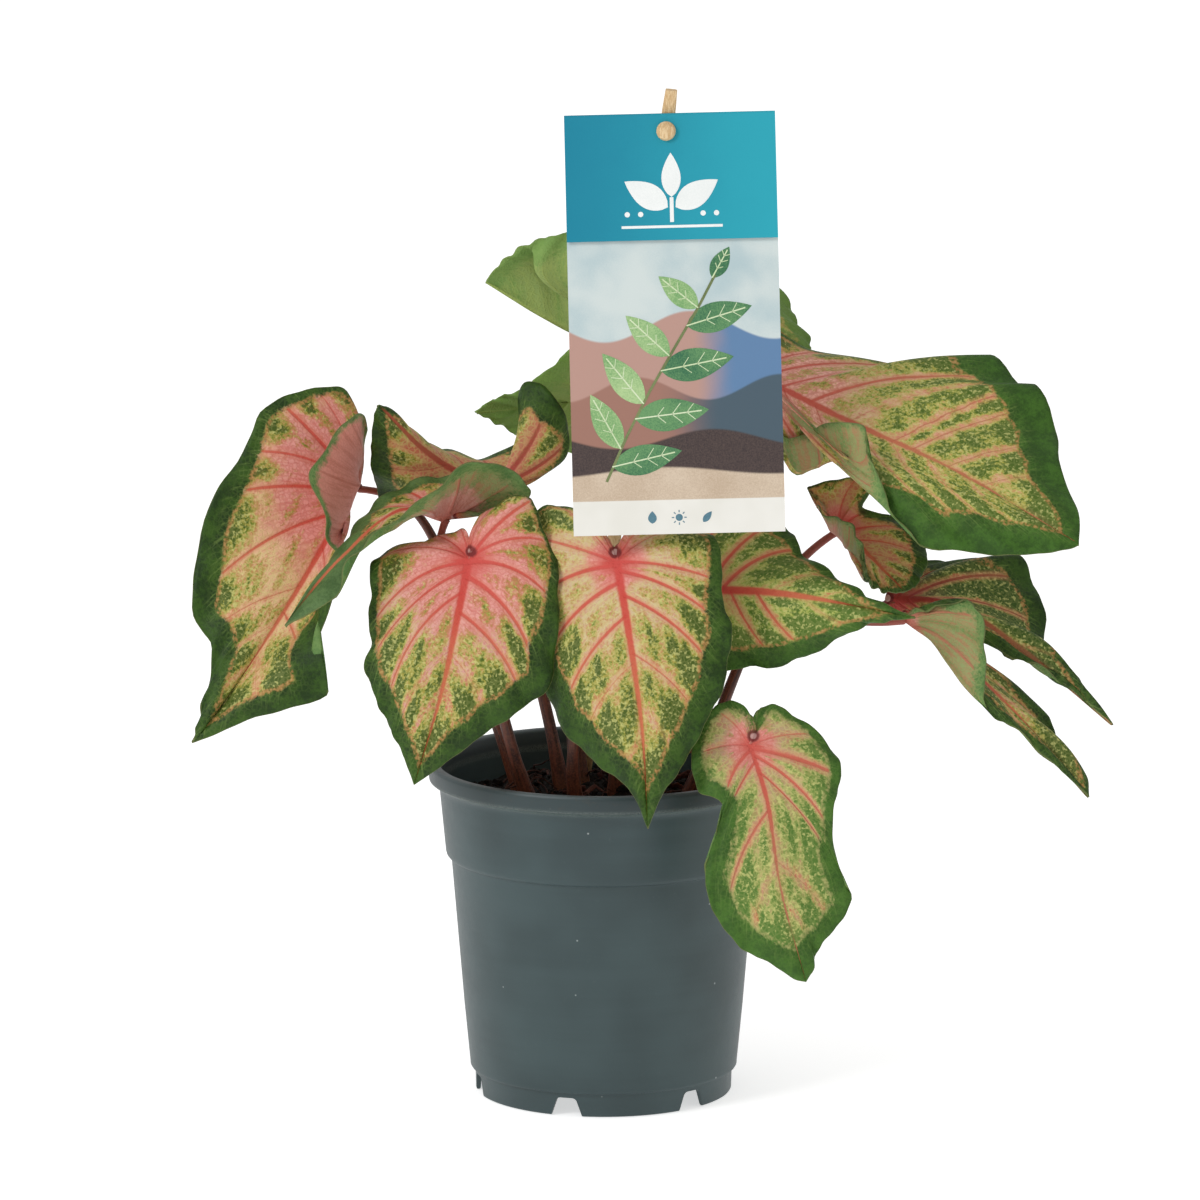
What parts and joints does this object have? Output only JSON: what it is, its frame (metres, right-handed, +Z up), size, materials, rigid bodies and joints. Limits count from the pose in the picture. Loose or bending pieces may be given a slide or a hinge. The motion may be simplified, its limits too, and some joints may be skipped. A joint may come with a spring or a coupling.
{
  "type": "potted caladium",
  "caption": "Caladium in a round nursery pot: heart-shaped veined leaves on long stems rising from soil, with a folded card label on a bamboo stick.",
  "frame": {"origin": "on the surface that the pot stands on, under the middle of the plant's bounding box; the pot's own axis stands 17.5 mm towards -X and 6 mm towards +Y of it", "axes": "+Z up; -Y towards the viewer, the side that the label faces; +X to the viewer's right"},
  "size_m": [0.3136, 0.1568, 0.35],
  "materials": {
    "pot": "satin",
    "soil": "matte",
    "tuber": "matte",
    "leaf": "satin",
    "stem": "satin",
    "card": "satin",
    "bamboo": "matte"
  },
  "bodies": {
    "root": {"pot": "pot", "soil": "soil", "tuber": "tuber", "leaf_front_left": "leaf", "leaf_front_centre": "leaf", "leaf_low_right": "leaf", "leaf_centre_right": "leaf", "leaf_right_big": "leaf", "leaf_right_small": "leaf", "leaf_right_far": "leaf", "leaf_right_low": "leaf", "leaf_mid_left": "leaf", "leaf_left": "leaf", "leaf_upper_left": "leaf", "leaf_back_left": "leaf", "leaf_top_left": "leaf", "leaf_top_right": "leaf", "stem_front_left": "stem", "stem_front_centre": "stem", "stem_low_right": "stem", "stem_centre_right": "stem", "stem_right_big": "stem", "stem_right_small": "stem", "stem_right_far": "stem", "stem_right_low": "stem", "stem_mid_left": "stem", "stem_left": "stem", "stem_upper_left": "stem", "stem_back_left": "stem", "stem_top_left": "stem", "stem_top_right": "stem", "label_card": "card", "label_stick": "bamboo"}
  },
  "joints": []
}
